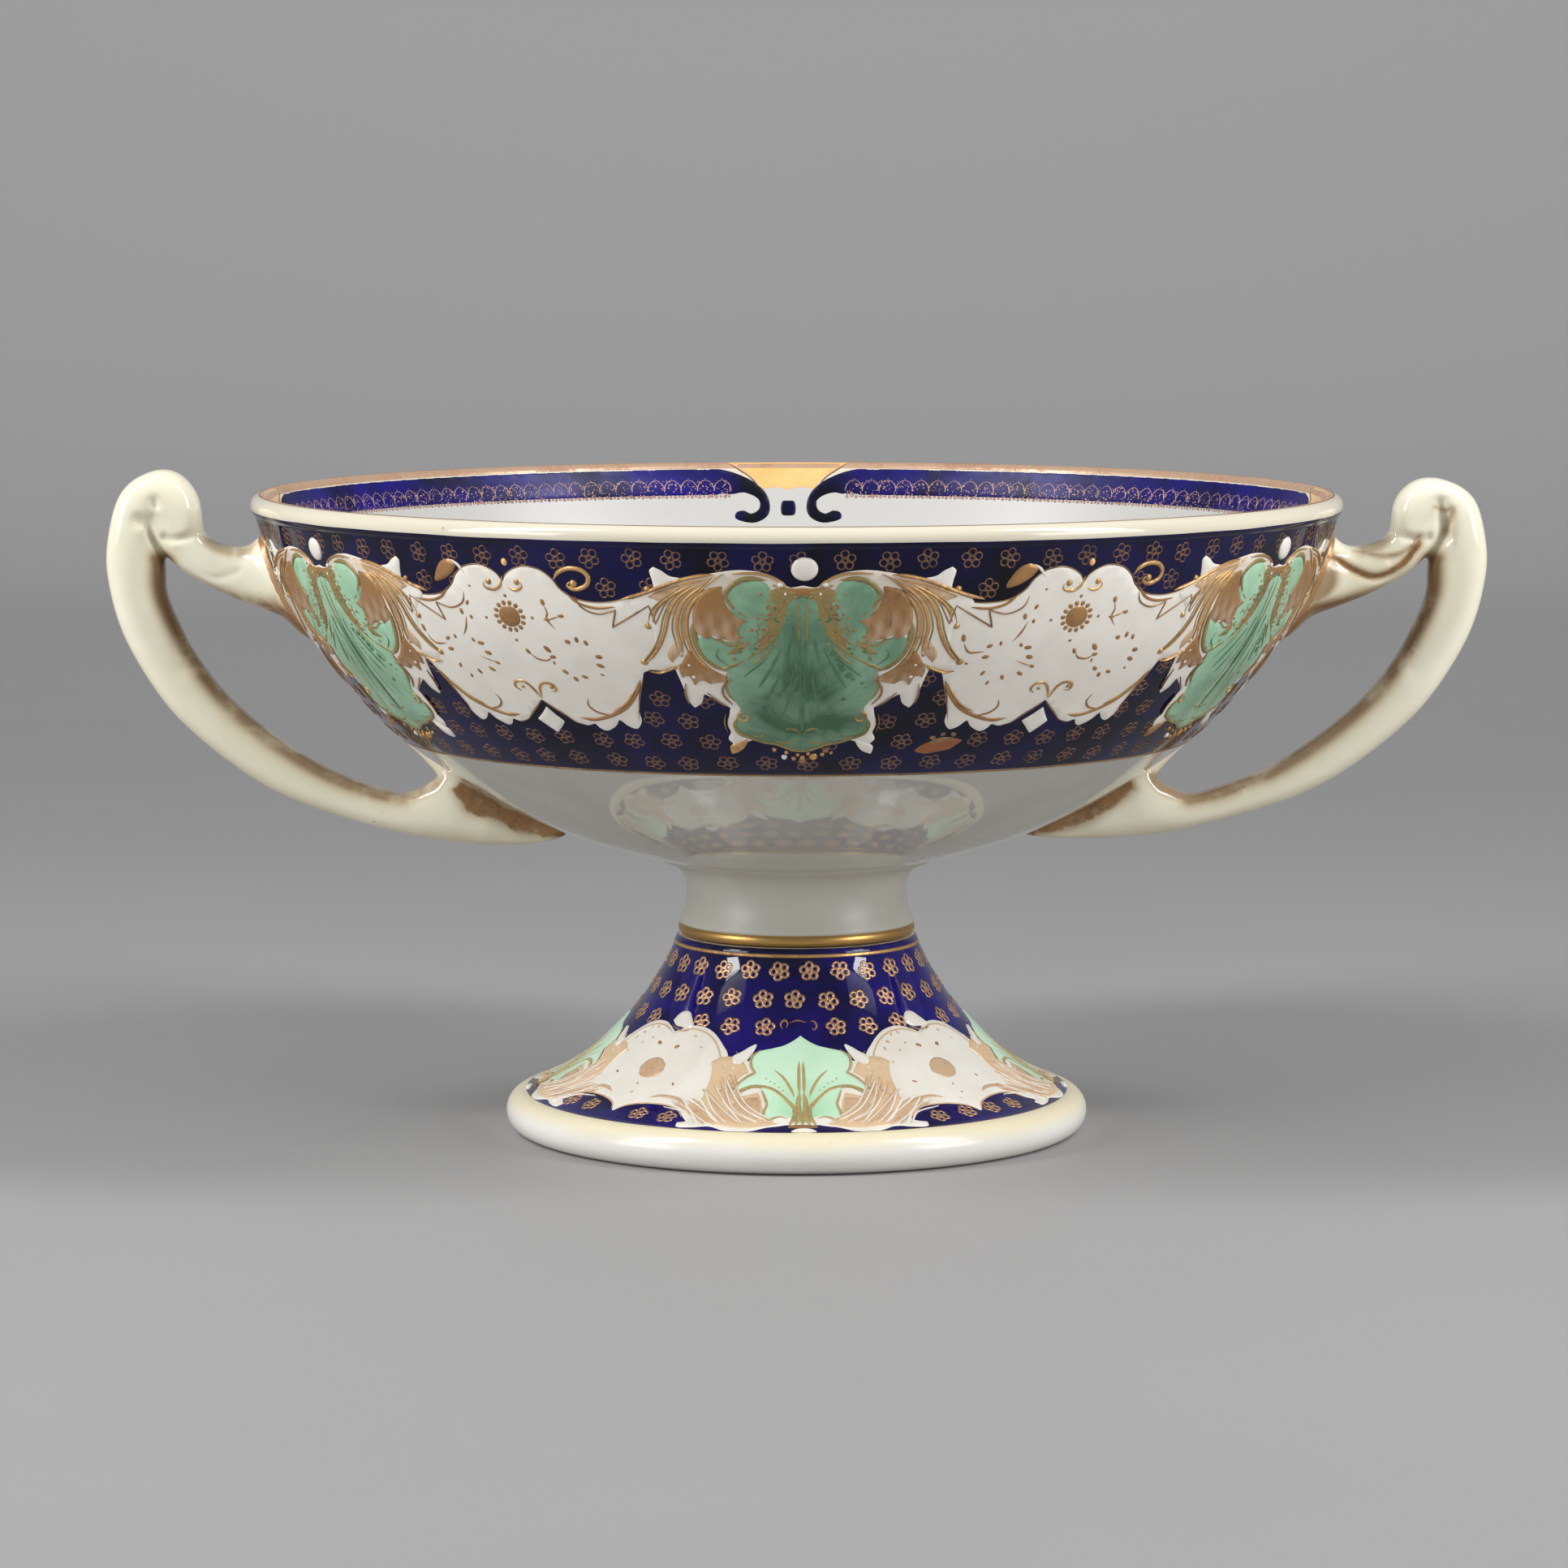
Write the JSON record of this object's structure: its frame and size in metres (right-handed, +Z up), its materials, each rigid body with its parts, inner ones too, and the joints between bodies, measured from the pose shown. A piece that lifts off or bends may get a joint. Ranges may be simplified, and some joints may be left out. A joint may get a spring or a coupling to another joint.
{
  "type": "twin-handled tazza",
  "caption": "Shallow porcelain bowl on a waisted stem and flared hollow foot, with scroll handles at either side, for serving or display.",
  "frame": {"origin": "centre of the foot ring, on the surface that the tazza stands on", "axes": "+Z up through the stem, +X towards the right-hand handle, +Y away from the viewer"},
  "size_m": [0.3172, 0.25, 0.1526],
  "materials": {
    "cobalt_glaze": "gloss",
    "white_glaze": "gloss",
    "cream_glaze": "gloss",
    "green_enamel": "gloss",
    "gilding": "satin"
  },
  "bodies": {
    "root": {"foot": "cobalt_glaze", "stem": "white_glaze", "bowl": "cobalt_glaze", "handle_right": "cream_glaze", "handle_left": "cream_glaze"}
  },
  "joints": []
}
